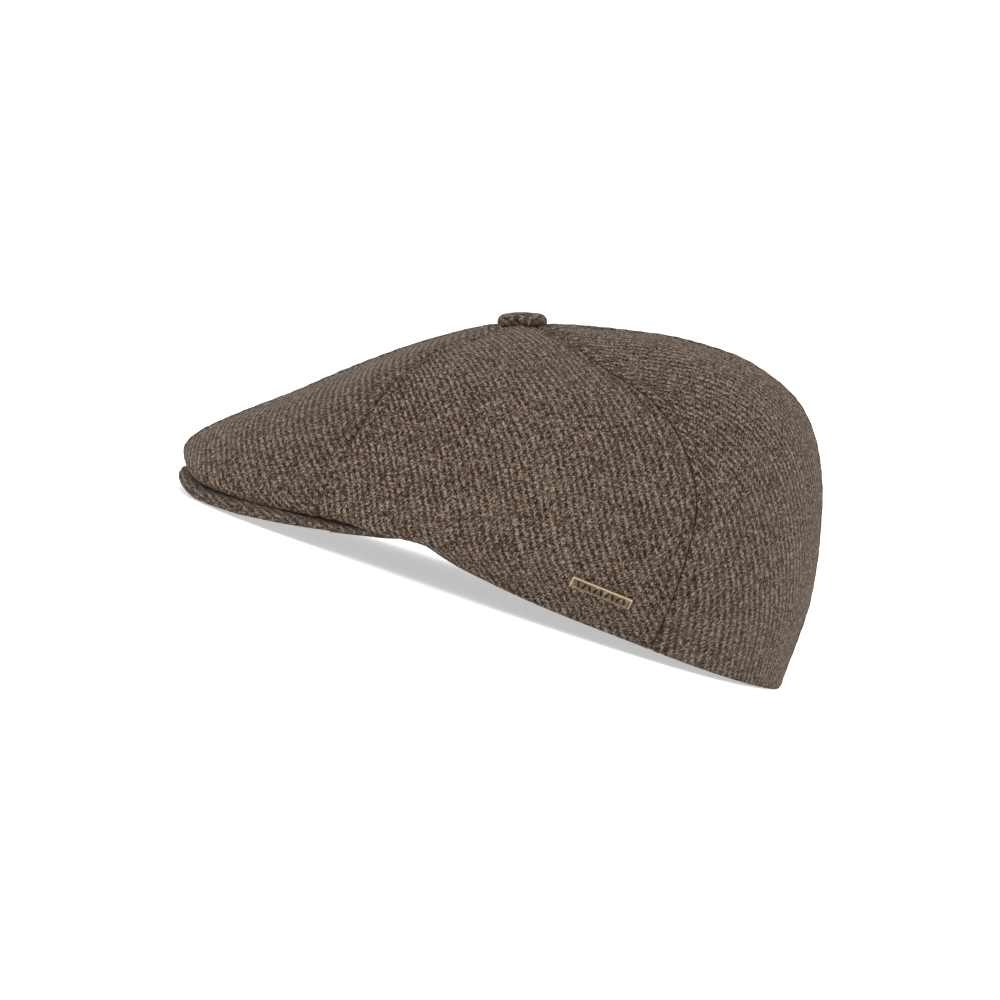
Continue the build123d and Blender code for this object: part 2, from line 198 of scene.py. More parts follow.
def bump(x, centre, width):
    """Rounded rise from 0 to 1 at the centre."""
    return np.exp(-(((x - centre) / width) ** 2))


def fade(x, start, end):
    """Rises evenly from 0 at the start to 1 at the end."""
    return np.clip((x - start) / (end - start), 0, 1)


def crowded(start, end, count):
    """Values from start to end, closer together at both ends."""
    x = np.linspace(0, 1, count)
    soft = 0.5 - 0.5 * np.cos(math.pi * x)
    return start + (end - start) * (CROWDING * soft + (1 - CROWDING) * x)


def across_panel(grid):
    """Distance to the nearer side seam, distance from the panel's middle, and run down it."""
    across = lengths_along(grid, 0)
    half = across[-1:] / 2
    u = across - half
    return half - np.abs(u), u, lengths_along(grid, 1)


# ---- meshes ----
def new_object(name, verts, faces, uvs, seams=None):
    """Smooth mesh object from points in the cap's frame, with one or two texture layers."""
    mesh = bpy.data.meshes.new(name)
    mesh.from_pydata(placed(verts).tolist(), [], [list(map(int, f)) for f in faces])
    index = np.empty(len(mesh.loops), np.int32)
    mesh.loops.foreach_get("vertex_index", index)
    for layer_name, values in (("UVMap", uvs), ("Seams", seams)):
        if values is not None:
            layer = mesh.uv_layers.new(name=layer_name)
            layer.data.foreach_set("uv", np.asarray(values, np.float32)[index].ravel())
    mesh.polygons.foreach_set("use_smooth", [True] * len(mesh.polygons))
    mesh.validate()
    mesh.update()
    obj = bpy.data.objects.new(name, mesh)
    bpy.context.scene.collection.objects.link(obj)
    return obj


def shell(name, outer, inner, uv, seams=None):
    """Closed skin between two grids of the same shape."""
    rows, cols = outer.shape[:2]
    count = rows * cols
    at = np.arange(count).reshape(rows, cols)
    a, b, c, d = at[:-1, :-1], at[:-1, 1:], at[1:, 1:], at[1:, :-1]
    out = np.stack([a, b, c, d], -1).reshape(-1, 4)
    back = np.stack([d, c, b, a], -1).reshape(-1, 4) + count
    edge = np.concatenate([at[0, :], at[1:, -1], at[-1, -2::-1], at[-2:0:-1, 0]])
    ahead = np.roll(edge, -1)
    side = np.stack([ahead, edge, edge + count, ahead + count], -1)
    verts = np.concatenate([outer.reshape(-1, 3), inner.reshape(-1, 3)])
    uvs = np.concatenate([uv.reshape(-1, 2)] * 2)
    if seams is not None:
        seams = np.concatenate([seams.reshape(-1, 2)] * 2)
    return new_object(name, verts, np.concatenate([out, back, side]), uvs, seams)


def grained(u, v, degrees):
    """Texture coordinates in millimetres, turned so that the second runs along the wales."""
    turn = math.radians(degrees)
    return np.stack([u * math.cos(turn) - v * math.sin(turn),
                     u * math.sin(turn) + v * math.cos(turn)], -1)


def declare_sheet(grid):
    """Measures the width and length of a piece's grid, in metres, and does nothing more with them."""
    width = lengths_along(grid, 0)[-1].max() / 1000
    length = lengths_along(grid, 1)[:, -1].max() / 1000


def add(obj, material, slot, *nodes):
    """Gives a piece its material, hides the CAD nodes that it stands for and hangs it on the body. The
    slot is not used.
    """
    obj.data.materials.append(material)
    if nodes:
        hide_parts(*nodes)
    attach(obj, BODY)


# ---- materials ----
class Graph:
    """Short calls for building one material's nodes."""

    def __init__(self, name):
        self.material = bpy.data.materials.new(name)
        self.material.use_nodes = True
        self.tree = self.material.node_tree
        self.shader = self.tree.nodes["Principled BSDF"]

    def node(self, kind, **settings):
        node = self.tree.nodes.new(kind)
        for key, value in settings.items():
            setattr(node, key, value)
        return node

    def feed(self, socket, value):
        if isinstance(value, bpy.types.NodeSocket):
            self.tree.links.new(value, socket)
        else:
            socket.default_value = value

    def math(self, operation, a, b=0.0):
        node = self.node("ShaderNodeMath", operation=operation)
        for socket, value in zip(node.inputs, (a, b)):
            self.feed(socket, value)
        return node.outputs[0]

    def mix(self, factor, a, b, blend="MIX"):
        node = self.node("ShaderNodeMix", data_type="RGBA", blend_type=blend)
        self.feed(node.inputs["Factor"], factor)
        self.feed(node.inputs["A"], a)
        self.feed(node.inputs["B"], b)
        return node.outputs["Result"]

    def ramp(self, value, stops):
        node = self.node("ShaderNodeValToRGB")
        while len(node.color_ramp.elements) < len(stops):
            node.color_ramp.elements.new(0.5)
        for element, (place, colour) in zip(node.color_ramp.elements, stops):
            element.position = place
            element.color = colour
        self.feed(node.inputs[0], value)
        return node.outputs[0]

    def noise(self, vector, scale, detail=2.0, roughness=0.5):
        node = self.node("ShaderNodeTexNoise")
        self.feed(node.inputs["Vector"], vector)
        self.feed(node.inputs["Scale"], scale)
        self.feed(node.inputs["Detail"], detail)
        self.feed(node.inputs["Roughness"], roughness)
        return node.outputs["Fac"]

    def cells(self, x, y, randomness):
        """Cells one unit across in a plane."""
        node = self.node("ShaderNodeTexVoronoi", voronoi_dimensions="2D")
        self.feed(node.inputs["Vector"], self.join(x, y))
        self.feed(node.inputs["Scale"], 1.0)
        self.feed(node.inputs["Randomness"], randomness)
        return node

    def uv(self, layer="UVMap"):
        """Texture coordinates in millimetres: together, then one by one."""
        node = self.node("ShaderNodeUVMap", uv_map=layer)
        split = self.node("ShaderNodeSeparateXYZ")
        self.feed(split.inputs[0], node.outputs[0])
        return node.outputs[0], split.outputs[0], split.outputs[1]

    def join(self, x, y):
        node = self.node("ShaderNodeCombineXYZ")
        for socket, value in zip(node.inputs, (x, y)):
            self.feed(socket, value)
        return node.outputs[0]

    def split(self, colour):
        """The three channels of a colour."""
        node = self.node("ShaderNodeSeparateColor")
        self.feed(node.inputs[0], colour)
        return node.outputs

    def swing(self, value, weight):
        """A value from 0 to 1, centred on 0 and weighted."""
        return self.math("MULTIPLY", self.math("SUBTRACT", value, 0.5), weight)

    def place(self):
        """Place in the object, in metres."""
        return self.node("ShaderNodeTexCoord").outputs["Object"]

    def relief(self, height, distance):
        """Shades the surface as if raised by height times distance, in metres."""
        node = self.node("ShaderNodeBump")
        self.feed(node.inputs["Distance"], distance)
        self.feed(node.inputs["Height"], height)
        self.feed(self.shader.inputs["Normal"], node.outputs[0])

    def finish(self, colour, roughness, **constants):
        """The material, with the other shader inputs given as constants."""
        self.feed(self.shader.inputs["Base Color"], colour)
        self.feed(self.shader.inputs["Roughness"], roughness)
        for name, value in constants.items():
            self.shader.inputs[name.replace("_", " ")].default_value = value
        return self.material


def rgb(r, g, b):
    """Colour given in sRGB 0 to 255."""
    def linear(v):
        v /= 255
        return v / 12.92 if v <= 0.04045 else ((v + 0.055) / 1.055) ** 2.4
    return (linear(r), linear(g), linear(b), 1.0)


# Tweed: its yarns and what crosses them, in millimetres.
WALE = 2.7
STROKE = 1.45
STROKE_SLANT = 0.5
FIBRE = 0.62
WALE_SWAY = 1.4
# Widths of the painted shade in a seam's crease and along its stitch rows.
CREASE_WIDTH = 0.5
STITCH_ROW_WIDTH = 0.42
# How much each part of the weave lightens or darkens the cloth.
TWEED_LEVEL = 0.64
STROKE_SHADE = 0.30
RIDGE_SHADE = 0.115
TONE_WEIGHT = 0.10
FLECK_WEIGHT = 0.70
NAP_WEIGHT = 1.0
CLOUD_WEIGHT = 0.12
# How far each part raises or sinks the surface, as shares of TWEED_RELIEF in metres.
STROKE_RELIEF = 1.2
FIBRE_RELIEF = 0.5
NAP_RELIEF = 0.8
SEAM_RELIEF = 1.2
TWEED_RELIEF = 0.00036
# How dark the painted shade at a seam is, and how much less it is at a front seam.
SEAM_PAINTED_DARKNESS = 0.85
FAINTER = 0.55
# Added to the run along a seam, to tell the flatter front seams from the others.
FAINT_SEAM = 1000.0

BLACK = (0, 0, 0, 1)
WHITE = (1, 1, 1, 1)
TWEED_SHADES = [
    (0.05, rgb(34, 25, 21)),
    (0.28, rgb(66, 52, 43)),
    (0.50, rgb(101, 85, 73)),
    (0.72, rgb(136, 120, 106)),
    (0.95, rgb(184, 170, 156)),
]
# Colour of the painted shade at seams; in the stitch rows it also stands for the dark thread.
SEAM_PAINTED_SHADE = rgb(30, 23, 20)
# Strength and tint of the coloured fibres.
RUST = (0.65, rgb(255, 218, 180))
GREY = (0.55, rgb(214, 232, 255))


def seam_painted_shade(g):
    """Painted shade, from 0 to 1, in the seam's crease and in the grooves of its two stitch rows,
    where the dark thread also shows.
    """
    _, seam, run = g.uv("Seams")
    faint = g.math("GREATER_THAN", run, 0.75 * FAINT_SEAM)
    crease = g.math("SUBTRACT", 1.0, g.math("DIVIDE", seam, CREASE_WIDTH))
    off_row = g.math("ABSOLUTE", g.math("SUBTRACT", seam, SEAM_ALLOWANCE))
    row = g.math("SUBTRACT", 1.0, g.math("DIVIDE", off_row, STITCH_ROW_WIDTH))
    sunk = g.noise(g.join(g.math("MULTIPLY", run, 0.11), g.math("MULTIPLY", seam, 0.01)), 1.0, 2.0)
    sunk = g.ramp(sunk, [(0.38, (0.15, 0.15, 0.15, 1)), (0.55, WHITE)])
    row = g.math("MULTIPLY", g.math("MAXIMUM", row, 0.0), sunk)
    line = g.math("MAXIMUM", g.math("MAXIMUM", crease, 0.0), row)
    darkness = g.math("SUBTRACT", SEAM_PAINTED_DARKNESS, g.math("MULTIPLY", faint, FAINTER))
    return g.math("MULTIPLY", line, darkness)


def tweed(name, gain, sewn):
    """Wool twill in mixed browns: slanted yarn strokes in wales, heathered fibres, loose nap."""
    g = Graph(name)
    uv, u, v = g.uv()
    u = g.math("ADD", u, g.swing(g.noise(uv, 0.11, 2.0), WALE_SWAY))
    slant = g.math("ADD", v, g.math("MULTIPLY", u, STROKE_SLANT))
    strokes = g.cells(g.math("DIVIDE", u, WALE), g.math("DIVIDE", slant, STROKE), 0.25)
    fibres = g.cells(g.math("DIVIDE", u, FIBRE), g.math("DIVIDE", v, FIBRE), 1.0)
    tone = g.split(strokes.outputs["Color"])[0]
    fleck, rust, grey = g.split(fibres.outputs["Color"])
    nap = g.noise(uv, 1.35, 2.0, 0.7)
    cloudy = g.noise(g.place(), 24.0, 2.0)
    ridge = g.math("COSINE", g.math("MULTIPLY", u, 2 * math.pi / WALE))
    from_stroke, from_fibre = strokes.outputs["Distance"], fibres.outputs["Distance"]
    level = g.math("SUBTRACT", TWEED_LEVEL, g.math("MULTIPLY", from_stroke, STROKE_SHADE))
    level = g.math("ADD", level, g.math("MULTIPLY", ridge, RIDGE_SHADE))
    for value, weight in ((tone, TONE_WEIGHT), (fleck, FLECK_WEIGHT), (nap, NAP_WEIGHT),
                          (cloudy, CLOUD_WEIGHT)):
        level = g.math("ADD", level, g.swing(value, weight))
    body = g.ramp(level, TWEED_SHADES)
    for share, (weight, tint) in ((rust, RUST), (grey, GREY)):
        some = g.ramp(share, [(0.62, BLACK), (0.80, WHITE)])
        body = g.mix(g.math("MULTIPLY", some, weight), body, g.mix(1.0, body, tint, "MULTIPLY"))
    height = g.math("SUBTRACT", 1.0, g.math("MULTIPLY", from_stroke, STROKE_RELIEF))
    height = g.math("ADD", height, g.math("MULTIPLY", from_fibre, -FIBRE_RELIEF))
    height = g.math("ADD", height, g.math("MULTIPLY", nap, NAP_RELIEF))
    if sewn:
        # Painted shade in the seam's crease and stitch-row grooves, with the dark thread in the rows.
        line = seam_painted_shade(g)
        body = g.mix(line, body, SEAM_PAINTED_SHADE)
        height = g.math("SUBTRACT", height, g.math("MULTIPLY", line, SEAM_RELIEF))
    body = g.mix(1.0, body, (gain, gain, gain, 1.0), "MULTIPLY")
    g.relief(height, TWEED_RELIEF)
    return g.finish(body, g.math("ADD", 0.86, g.math("MULTIPLY", nap, 0.12)), Sheen_Weight=0.06,
                    Sheen_Roughness=0.5, Sheen_Tint=(0.7, 0.62, 0.55, 1.0), Specular_IOR_Level=0.12)


WEAVE_SHADE = 0.16
UNEVEN_SHADE = 0.7


def plain_weave(name, dark, light, pitch, relief, sheen, specular, roughness):
    """Fine woven cloth or tape, with a slightly uneven dye."""
    g = Graph(name)
    _, u, v = g.uv()
    warp = g.math("SINE", g.math("MULTIPLY", u, 2 * math.pi / pitch))
    weft = g.math("SINE", g.math("MULTIPLY", v, 2 * math.pi / pitch))
    weave = g.math("MULTIPLY", warp, weft)
    slub = g.noise(g.join(g.math("MULTIPLY", u, 0.15), g.math("MULTIPLY", v, 1.6)), 1.0, 3.0)
    dye = g.noise(g.place(), 45.0, 3.0)
    level = g.math("ADD", 0.5, g.math("MULTIPLY", weave, WEAVE_SHADE))
    for value in (slub, dye):
        level = g.math("ADD", level, g.swing(value, UNEVEN_SHADE))
    colour = g.ramp(level, [(0.15, dark), (0.85, light)])
    g.relief(g.math("ADD", weave, slub), relief)
    return g.finish(colour, g.math("ADD", roughness, g.math("MULTIPLY", slub, 0.12)),
                    Sheen_Weight=sheen, Sheen_Roughness=0.35, Specular_IOR_Level=specular)


# Metres below the badge's front at which a hollow counts as a groove.
GROOVE_DEPTH = 0.00015
GROOVE_SHADE = rgb(24, 19, 16)
GROOVE_DARKNESS = 0.93
# A face counts as flat above this cosine of its turn from the badge's front.
FLAT_TURN = 0.96
# Edges turned from the front between these cosines take the light colour by this share: rubbed wear
# and a painted highlight.
EDGE_TURNS = (0.90, 0.985)
EDGE_WEAR_AND_HIGHLIGHT = 0.7


def badge_wear_and_highlight(g, colour, light, face):
    """Hollows cut below the badge's front are dark, and edges turned away are lighter: partly rubbed
    wear, partly a painted highlight.
    """
    out, front_level = face
    facing, level = (g.node("ShaderNodeVectorMath", operation="DOT_PRODUCT") for _ in range(2))
    g.feed(facing.inputs[0], g.node("ShaderNodeNewGeometry").outputs["True Normal"])
    g.feed(level.inputs[0], g.place())
    for node in (facing, level):
        node.inputs[1].default_value = tuple(out)
    # Painted highlight, with some rubbed wear, on edges turned away from the badge's front.
    rubbed_and_highlit = g.ramp(facing.outputs["Value"], list(zip(EDGE_TURNS, (WHITE, BLACK))))
    colour = g.mix(g.math("MULTIPLY", rubbed_and_highlit, EDGE_WEAR_AND_HIGHLIGHT), colour, light)
    below = g.math("LESS_THAN", level.outputs["Value"], float(front_level) - GROOVE_DEPTH)
    groove = g.math("MULTIPLY", below, g.math("GREATER_THAN", facing.outputs["Value"], FLAT_TURN))
    return g.mix(g.math("MULTIPLY", groove, GROOVE_DARKNESS), colour, GROOVE_SHADE)


def metal(name, dark, mid, light, roughness, face=None):
    """Old metal with a patchy patina. For the badge, face is what badge_face() gives."""
    g = Graph(name)
    patina = g.noise(g.place(), 900.0, 4.0, 0.6)
    stain = g.noise(g.place(), 210.0, 2.0)
    shade = g.math("ADD", g.math("MULTIPLY", patina, 0.6), g.math("MULTIPLY", stain, 0.4))
    colour = g.ramp(shade, [(0.36, dark), (0.56, mid), (0.75, light)])
    if face is not None:
        # Dark grooves, and lighter edges from rubbed wear and a painted highlight.
        colour = badge_wear_and_highlight(g, colour, light, face)
    g.relief(patina, 0.00003)
    rough_level = g.math("ADD", roughness, g.math("MULTIPLY", patina, 0.2))
    return g.finish(colour, rough_level, Metallic=0.9, Specular_IOR_Level=0.5)


def spun_thread(name, dark, light):
    """Twisted sewing thread."""
    g = Graph(name)
    _, u, v = g.uv()
    twist = g.math("SINE", g.math("ADD", g.math("MULTIPLY", u, 9.0), g.math("MULTIPLY", v, 5.0)))
    fuzz = g.noise(g.place(), 2600.0, 3.0)
    level = g.math("ADD", g.math("MULTIPLY", twist, 0.25), fuzz)
    colour = g.ramp(level, [(0.2, dark), (0.9, light)])
    g.relief(level, 0.00006)
    return g.finish(colour, 0.7, Sheen_Weight=0.15, Specular_IOR_Level=0.3)


def badge_face():
    """The way the badge looks out and the level of its front, from its flat CAD plate."""
    verts = np.array([v.co for v in frame["nodes"]["badge_plate"].data.vertices])
    _, _, rows = np.linalg.svd(verts - verts.mean(0), full_matrices=False)
    out = rows[2] if rows[2][1] > 0 else -rows[2]
    return out, (verts @ out).max()


TWEED = tweed("wool_twill_tweed", 0.55, True)
PLAIN_TWEED = tweed("wool_twill_tweed_unseamed", 0.54, False)
LINING = plain_weave("lining_satin", rgb(42, 36, 33), rgb(66, 57, 51), pitch=0.45,
                     relief=0.00004, sheen=0.1, specular=0.55, roughness=0.32)
BAND = plain_weave("sweatband_cotton_twill", rgb(48, 41, 37), rgb(72, 62, 55), pitch=0.9,
                   relief=0.00016, sheen=0.2, specular=0.2, roughness=0.75)
STAY = plain_weave("stay_buckram", rgb(168, 158, 140), rgb(206, 198, 182), pitch=1.4,
                   relief=0.0002, sheen=0.1, specular=0.2, roughness=0.8)
THREAD = spun_thread("sewing_thread", rgb(34, 27, 24), rgb(74, 62, 54))
BRASS = metal("antique_brass", rgb(66, 55, 44), rgb(100, 86, 70), rgb(205, 184, 152),
              roughness=0.3, face=badge_face())
TINPLATE = metal("tinplate", rgb(110, 108, 106), rgb(150, 148, 146), rgb(190, 188, 184),
                 roughness=0.28)


def board_material():
    """Moulded peak board, slightly mottled."""
    g = Graph("peak_board_plastic")
    speck = g.noise(g.place(), 700.0, 4.0, 0.6)
    colour = g.ramp(speck, [(0.3, rgb(52, 46, 41)), (0.7, rgb(74, 66, 59))])
    g.relief(speck, 0.00005)
    uneven = g.math("ADD", 0.5, g.math("MULTIPLY", speck, 0.2))
    return g.finish(colour, uneven, Specular_IOR_Level=0.4)


# ---- crown ----
CROWN_GRID = (91, 181)
CROWN_START = 0.05
# Panels: part, hand, the angles that they span, and the turn of their wales.
CROWN_PANELS = [
    ("front", "left", 0, 60, 57),
    ("side", "left", 60, 120, 23),
    ("rear", "left", 120, 180, 18),
    ("front", "right", -60, 0, 57),
    ("side", "right", -120, -60, 23),
    ("rear", "right", 180, 240, 18),
]
LAST_FRONT_SEAM = 60
# Rise, place and width of each ridge and dip beside a pressed-open, topstitched seam.
SEAM_SHAPE = [
    (-0.75, 0.0, 1.1),
    (0.5, 3.0, 1.9),
    (-0.5, SEAM_ALLOWANCE, 0.9),
    (0.18, 7.6, 2.2),
]
# Where the crown hangs below its lines: how far, the angle from the front and its width,
# the drop and its width.
SAGS = [
    (1.9, 80, 7, 1.0, 0.07),
    (1.7, 50, 19, 0.815, 0.035),
    (2.0, 70, 8, 0.885, 0.045),
]
# Rise and size of the crown's broad and fine wrinkles.
BROAD_WRINKLE = (0.75, 46)
FINE_WRINKLE = (0.28, 17)
# Wrinkles die out within these distances of the hem and of a seam.
HEM_CALM = 9.0
SEAM_CALM = 3.0
# The peak calms them by this share, which fades in over these ranges of X and Z.
PEAK_CALM = 0.85
PEAK_CALM_X = (50, 70)
PEAK_CALM_Z = (14, 4)
PUCKER_RISE = 0.16
PUCKER_WIDTH = 2.6
PUCKER_PACE = 0.9
PUCKER_SWAY = (3, 14)
HEM_TURN = 0.55
HEM_TURN_WIDTH = 0.9


def seam_profile(seam):
    """Rise of the cloth at a distance from a seam."""
    return sum(rise * bump(seam, place, width) for rise, place, width in SEAM_SHAPE)


def crown_rise(points, seam, run):
    """Soft wrinkles, less where the crown lies on the peak, with pinched seams and a turned hem."""
    left = run[:, -1:] - run
    on_peak = fade(points[..., 0], *PEAK_CALM_X) * fade(points[..., 2], *PEAK_CALM_Z)
    sway, sway_size = PUCKER_SWAY
    waves = np.sin(run * PUCKER_PACE + sway * rough(points, sway_size, 2))
    pucker = PUCKER_RISE * bump(seam, SEAM_ALLOWANCE, PUCKER_WIDTH) * waves
    (broad, broad_size), (fine, fine_size) = BROAD_WRINKLE, FINE_WRINKLE
    soft = broad * rough(points, broad_size, 1) + fine * rough(points, fine_size, 3)
    free = (1 - PEAK_CALM * on_peak) * (1 - bump(left, 0, HEM_CALM)) * (1 - bump(seam, 0, SEAM_CALM))
    return seam_profile(seam) + pucker + soft * free - HEM_TURN * bump(left, 0, HEM_TURN_WIDTH)


def crown_panel(name, start, end, grain):
    """One panel as a closed skin, and its grid. The second texture layer holds the distance to
    the seam and the run along it, with the run of the front seams lifted by FAINT_SEAM."""
    angles = crowded(start, end, CROWN_GRID[0])
    drops = np.linspace(CROWN_START, 1.0, CROWN_GRID[1])
    grid = net(CROWN_LINES, angles, drops)
    turn = np.abs(np.where(angles > 180, angles - 360, angles))
    for depth, angle, angle_width, drop, drop_width in SAGS:
        grid[..., 2] -= depth * np.outer(bump(turn, angle, angle_width), bump(drops, drop, drop_width))
    seam, u, run = across_panel(grid)
    normals = normals_of(grid)
    outer = grid + normals * crown_rise(grid, seam, run)[..., None]
    inner = grid - normals * CLOTH
    faint = [abs(angle) <= LAST_FRONT_SEAM for angle in (start, end)]
    seams = np.stack([seam, run + FAINT_SEAM * np.where(u < 0, *faint)], -1)
    return shell(name, outer, inner, grained(u, run, grain), seams), grid


for part, hand, start, end, grain in CROWN_PANELS:
    panel, panel_grid = crown_panel(f"tweed_panel_{part}_{hand}", start, end, grain)
    add(panel, TWEED, "tweed", f"crown_panel_{part}_{hand}")
    declare_sheet(panel_grid)


# ---- topstitching ----
# Thread radius, stitch length and gap between stitches.
SEAM_STITCH = (0.26, 2.7, 0.55)
BAND_STITCH = (0.22, 2.6, 0.6)
STITCH_SIDES = 8
STITCH_RINGS = 7
FIRST_STITCH = 0.4
LOOK_AHEAD = 0.2
# A stitch's middle stands proud by a share of its radius, and its ends dip in and thin out.
STITCH_LIFT = 0.35
STITCH_DIP = 0.44
STITCH_THINNING = 0.45
STITCH_FLATNESS = 0.8
# Degrees to each side of a seam, and points across them, that its two rows are found among.
SEAM_SPREAD = 12
SEAM_POINTS = 97
ROW_POINTS = 160
ROW_START = 0.14
ROW_LIFT = 0.05
# Seams: name, angle, and the drop at which their rows end.
STITCHED_SEAMS = [
    ("front_seam", 0, 0.7),
    ("front_left", 60, 0.7),
    ("front_right", -60, 0.7),
    ("rear_left", 120, 0.93),
    ("rear_right", -120, 0.93),
    ("back_seam", 180, 0.95),
]


def at_run(at, run, values):
    """Point or direction at a run along a path."""
    return np.array([np.interp(at, run, values[:, k]) for k in range(3)])


def stitch_row(path, normals, sizes):
    """Stitches along a path, each a rounded thread that dips in at both ends."""
    radius, length, gap = sizes
    steps = np.linalg.norm(np.diff(path, axis=0), axis=1)
    run = np.concatenate([[0], np.cumsum(steps)])
    verts, faces, uvs = [], [], []
    start = FIRST_STITCH
    while start + length < run[-1]:
        base = len(verts)
        for ring in range(STITCH_RINGS):
            share = ring / (STITCH_RINGS - 1)
            at = start + length * share
            point = at_run(at, run, path)
            ahead = at_run(at + LOOK_AHEAD, run, path) - point
            up = at_run(at, run, normals)
            up /= np.linalg.norm(up)
            side = np.cross(ahead / max(np.linalg.norm(ahead), TINY), up)
            off_middle = 2 * share - 1
            lift = radius * STITCH_LIFT - STITCH_DIP * off_middle**4
            fat = radius * (1 - STITCH_THINNING * off_middle**6)
            for k in range(STITCH_SIDES):
                turn = 2 * math.pi * k / STITCH_SIDES
                height = lift + fat * STITCH_FLATNESS * math.sin(turn)
                verts.append(point + up * height + side * fat * math.cos(turn))
                uvs.append((at, turn))
        for ring in range(STITCH_RINGS - 1):
            near = base + ring * STITCH_SIDES
            far = near + STITCH_SIDES
            for k in range(STITCH_SIDES):
                after = (k + 1) % STITCH_SIDES
                faces.append((near + k, near + after, far + after, far + k))
        last = base + (STITCH_RINGS - 1) * STITCH_SIDES
        faces.append(tuple(base + k for k in range(STITCH_SIDES))[::-1])
        faces.append(tuple(last + k for k in range(STITCH_SIDES)))
        start += length + gap
    return verts, faces, uvs


def merged(name, rows):
    """One object from several stitch rows."""
    verts, faces, uvs = [], [], []
    for row_verts, row_faces, row_uvs in rows:
        base = len(verts)
        verts += row_verts
        faces += [tuple(i + base for i in face) for face in row_faces]
        uvs += row_uvs
    return new_object(name, np.array(verts), faces, uvs)


def seam_stitches(name, seam_angle, drop_end):
    """Two rows of topstitching beside a seam, lying in the dip that they pull."""
    angles = np.linspace(seam_angle - SEAM_SPREAD, seam_angle + SEAM_SPREAD, SEAM_POINTS)
    grid = net(CROWN_LINES, angles, np.linspace(ROW_START, drop_end, ROW_POINTS))
    across = lengths_along(grid, 0)
    normals = normals_of(grid)
    middle = across[SEAM_POINTS // 2]
    rows = []
    for side in (-1, 1):
        at = middle + side * SEAM_ALLOWANCE
        path, ups = (np.array([at_run(at[j], across[:, j], values[:, j]) for j in range(ROW_POINTS)])
                     for values in (grid, normals))
        path = path + ups * (seam_profile(SEAM_ALLOWANCE) + ROW_LIFT)
        rows.append(stitch_row(path, ups, SEAM_STITCH))
    return merged(name, rows)


for seam_name, angle, drop_end in STITCHED_SEAMS:
    stitches = seam_stitches(f"stitches_{seam_name}", angle, drop_end)
    add(stitches, THREAD, "thread", f"topstitch_{seam_name}")


# ---- lining ----
LINING_GRID = (61, 101)
LINING_DROPS = (0.03, 1.03)
LINING_GRAIN = 45
# Rise, pace across the panel, and reach of the gathers at the button and of those at the band.
TOP_GATHER = (0.5, 1.25, 34)
BAND_GATHER = (0.35, 0.5, 16)
GATHER_SWAY = (4, 30)
# Rise and size of the lining's slack, then how near a seam it dies out.
BROAD_SLACK = (0.9, 24)
FINE_SLACK = (0.3, 9)
LINING_SEAM_CALM = 2.5
# Depth and width of the lining's seams.
LINING_SEAM = (0.35, 1.2)


def lining_rise(points, seam, u, run):
    """The lining is cut full: it gathers towards the button and sags between its seams."""
    left = run[:, -1:] - run
    rise, pace, reach = TOP_GATHER
    top = bump(run, 0, reach) * np.sin(u * pace) * rise
    rise, pace, reach = BAND_GATHER
    sway, sway_size = GATHER_SWAY
    foot = rise * np.sin(u * pace + sway * rough(points, sway_size, 7)) * bump(left, 0, reach)
    (broad, broad_size), (fine, fine_size) = BROAD_SLACK, FINE_SLACK
    slack = broad * rough(points, broad_size, 5) + fine * rough(points, fine_size, 6)
    depth, width = LINING_SEAM
    return (top + slack + foot) * (1 - bump(seam, 0, LINING_SEAM_CALM)) - depth * bump(seam, 0, width)


def lining_panel(name, start, end):
    """One lining panel as a closed skin, and its grid."""
    drops = np.linspace(*LINING_DROPS, LINING_GRID[1])
    grid = net(LINING_LINES, crowded(start, end, LINING_GRID[0]), drops)
    seam, u, run = across_panel(grid)
    normals = normals_of(grid)
    rise = lining_rise(grid, seam, u, run)[..., None]
    outer = grid + normals * rise
    inner = grid + normals * (rise - LINING_CLOTH)
    return shell(name, outer, inner, grained(u, run, LINING_GRAIN)), grid


for part, hand, start, end, _ in CROWN_PANELS:
    panel, panel_grid = lining_panel(f"lining_panel_{part}_{hand}", start, end)
    add(panel, LINING, "lining_satin", f"lining_{part}_{hand}")
    declare_sheet(panel_grid)


# ---- sweatband ----
BAND_DEPTH = STAY_THICKNESS + LAYER_GAP
BAND_LOW = 0.6
BAND_ANGLES = np.linspace(-179.6, 179.6, 361)
BAND_HEIGHTS = crowded(BAND_LOW, BAND_HEIGHT, 25)
BAND_STITCH_ANGLES = np.linspace(-174.5, 174.5, 500)
BAND_STITCH_HEIGHTS = (BAND_HEIGHT - 2.2, BAND_LOW + 2.0)
BAND_STITCH_SINK = 0.28
# Depth and size, width or pace of the band's waves, edges, stitch rows and their ripples.
BAND_WAVE = (0.35, 20)
BAND_EDGE = (0.45, 0.7)
BAND_SEWN = (0.3, 0.6)
BAND_RIPPLE = (0.08, 1.9)
TAPE_WAVE = (0.1, 8)
TAPE_END = (0.25, 0.8)
TAPE_DEPTH = BAND_DEPTH + BAND_THICKNESS + LAYER_GAP
TAPE_THICKNESS = 0.5
TAPE_ANGLES = np.linspace(176, 184, 25)
TAPE_HEIGHTS = np.linspace(2.0, 27.0, 33)
HEM_STEP = 0.5


def hem(angles):
    return net(CROWN_LINES, angles, [1.0])[:, 0]


def inner_ring(angles, heights):
    """Wall on the hem that leans in with height, and its inward directions."""
    along = hem(angles + HEM_STEP) - hem(angles - HEM_STEP)
    inward = np.stack([-along[:, 1], along[:, 0], np.zeros(len(angles))], -1)
    inward /= np.linalg.norm(inward, axis=1, keepdims=True)
    depth = CLOTH + LAYER_GAP + BAND_LEAN * heights
    wall = hem(angles)[:, None] + inward[:, None] * depth[None, :, None]
    wall[..., 2] += heights
    return wall, inward


